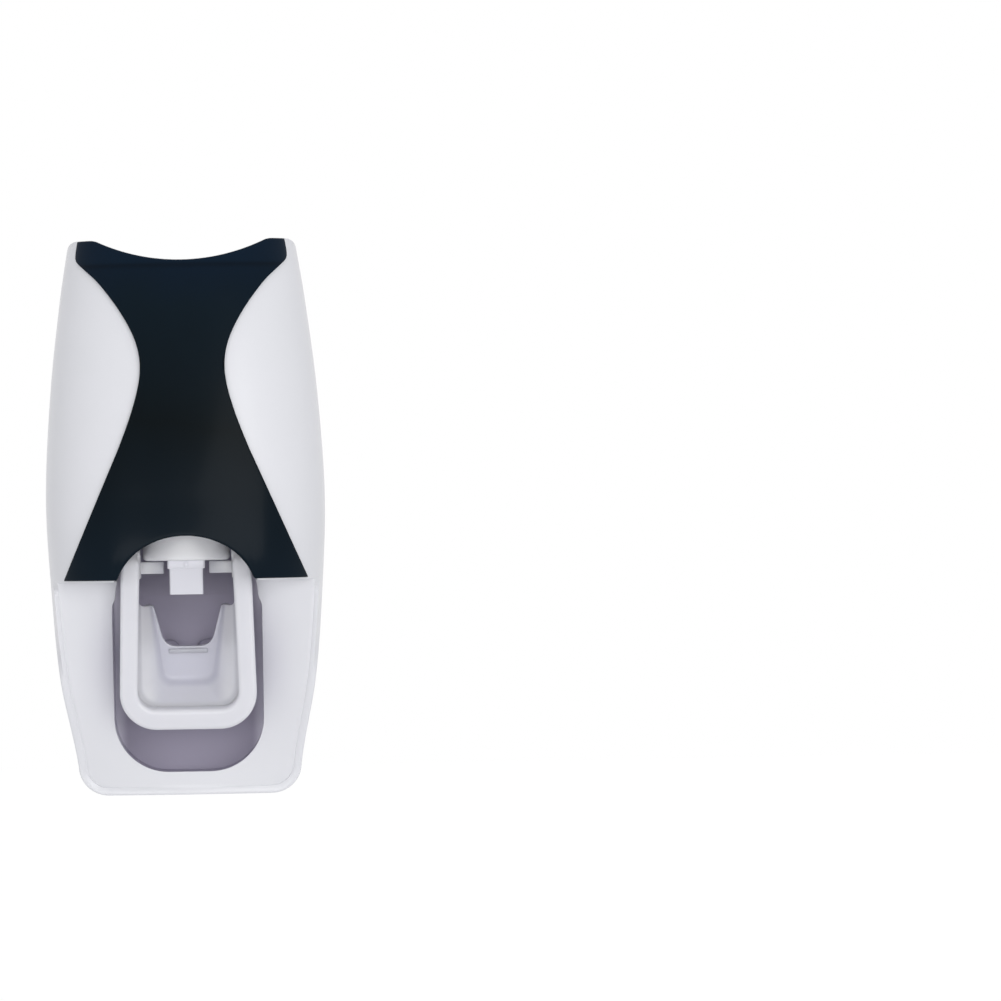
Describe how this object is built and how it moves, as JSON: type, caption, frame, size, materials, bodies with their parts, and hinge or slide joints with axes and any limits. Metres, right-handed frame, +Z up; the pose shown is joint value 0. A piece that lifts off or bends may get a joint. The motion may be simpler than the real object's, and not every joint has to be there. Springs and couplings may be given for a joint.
{
  "type": "toothpaste dispenser",
  "caption": "Wall-hung toothpaste dispenser with a waisted dark front panel, a white housing and a brush-pushed lever ring that works a small paste pump.",
  "frame": {"origin": "On the wall face of the adhesive pad, at the middle of the wall plate, on the plane of symmetry.", "axes": "x to the right as seen from the front, y towards the wall (the dispenser lies at negative y), z up."},
  "size_m": [0.0704, 0.0604, 0.14],
  "materials": {
    "white_plastic": "smooth moulded, soft gloss",
    "dark_panel": "polished, high gloss",
    "grey_liner": "fine matt",
    "clear_white_plastic": "smooth moulded",
    "inner_plastic": "plain moulded, not polished",
    "silicone": "soft, slightly translucent",
    "steel": "bright zinc or stainless",
    "foam_tape": "closed-cell foam"
  },
  "bodies": {
    "wall_bracket": {"wall_plate": "white_plastic", "adhesive_pad": "foam_tape"},
    "housing": {"upper_shell": "white_plastic", "lower_shell": "white_plastic", "apron": "white_plastic", "front_panel": "dark_panel", "recess_liner": "grey_liner", "back_cover": "white_plastic", "cover_screws": "steel", "pump_screws": "steel", "pump_bracket": "inner_plastic", "pump_head": "inner_plastic", "tube_socket": "silicone", "socket_collar": "inner_plastic", "tube_guide": "inner_plastic", "inlet_valve": "silicone", "pump_bellows": "silicone", "return_spring": "steel", "hinge_pins": "steel", "lever_bumpers": "silicone"},
    "lever": {"lever_frame": "clear_white_plastic"},
    "slide": {"pump_slide": "clear_white_plastic", "nozzle": "clear_white_plastic", "outlet_valve": "silicone"}
  },
  "joints": [
    {"name": "housing_lift", "type": "slide", "parent": "wall_bracket", "child": "housing", "axis": [0, 0, 1], "range_m": [0, 0.012]},
    {"name": "lever_hinge", "type": "hinge", "parent": "housing", "child": "lever", "pos_m": [0, -0.046, -0.037], "axis": [1, 0, 0], "range_deg": [0, 18], "stiffness_Nm_per_rad": 0.05, "springref_deg": -34.38},
    {"name": "pump_stroke", "type": "slide", "parent": "housing", "child": "slide", "axis": [0, 0, 1], "range_m": [0, 0.00388], "deforming": ["pump_bellows", "return_spring"]}
  ],
  "couplings": [
    {"joint": "lever_hinge", "follows": "pump_stroke", "rad_per_m": 80.98}
  ]
}
